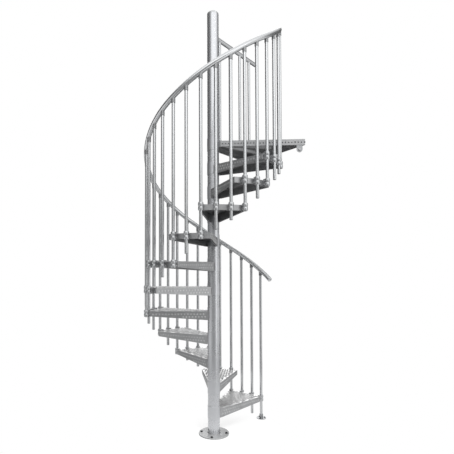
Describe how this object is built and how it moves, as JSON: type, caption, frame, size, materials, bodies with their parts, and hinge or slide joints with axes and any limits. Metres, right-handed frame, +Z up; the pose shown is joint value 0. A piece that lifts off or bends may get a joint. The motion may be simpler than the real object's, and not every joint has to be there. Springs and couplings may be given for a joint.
{
  "type": "spiral staircase",
  "caption": "Open spiral staircase of folded steel treads around a sleeved column, with a helical handrail on tube balusters and a guarded landing.",
  "frame": {"origin": "centre of the base flange's underside, on the column's axis, at floor level", "axes": "+Z up along the column; +X from the column outwards along the landing, about 3 degrees off its open front edge; +Y from that edge into the landing; seen from above the stair climbs counter-clockwise"},
  "size_m": [1.3851, 1.1999, 3.679],
  "materials": {
    "galvanised_column": "hot-dip galvanised, satin",
    "galvanised_tread": "hot-dip galvanised sheet with raised anti-slip pattern",
    "galvanised_tube": "hot-dip galvanised tube",
    "galvanised_rail": "hot-dip galvanised tube",
    "galvanised_fitting": "hot-dip galvanised plate",
    "clip_dark": "matt black moulding",
    "cap_grey": "hot-dip galvanised cap"
  },
  "bodies": {
    "root": {"base_flange": "galvanised_column", "mast_tube": "galvanised_column", "spacer_sleeves": "galvanised_column", "newel_post": "galvanised_column", "newel_cap": "cap_grey", "tread_01": "galvanised_tread", "tread_02": "galvanised_tread", "tread_03": "galvanised_tread", "tread_04": "galvanised_tread", "tread_05": "galvanised_tread", "tread_06": "galvanised_tread", "tread_07": "galvanised_tread", "tread_08": "galvanised_tread", "tread_09": "galvanised_tread", "tread_10": "galvanised_tread", "tread_11": "galvanised_tread", "balusters_01": "galvanised_tube", "balusters_02": "galvanised_tube", "balusters_03": "galvanised_tube", "balusters_04": "galvanised_tube", "balusters_05": "galvanised_tube", "balusters_06": "galvanised_tube", "balusters_07": "galvanised_tube", "balusters_08": "galvanised_tube", "balusters_09": "galvanised_tube", "balusters_10": "galvanised_tube", "balusters_11": "galvanised_tube", "baluster_foot": "galvanised_fitting", "handrail_01": "galvanised_rail", "handrail_02": "galvanised_rail", "handrail_03": "galvanised_rail", "handrail_04": "galvanised_rail", "handrail_05": "galvanised_rail", "handrail_06": "galvanised_rail", "handrail_07": "galvanised_rail", "handrail_08": "galvanised_rail", "rail_clips": "clip_dark", "landing": "galvanised_tread", "guard_posts": "galvanised_tube", "guard_feet": "galvanised_fitting", "guard_rail": "galvanised_rail", "landing_lug": "galvanised_fitting"}
  },
  "joints": []
}
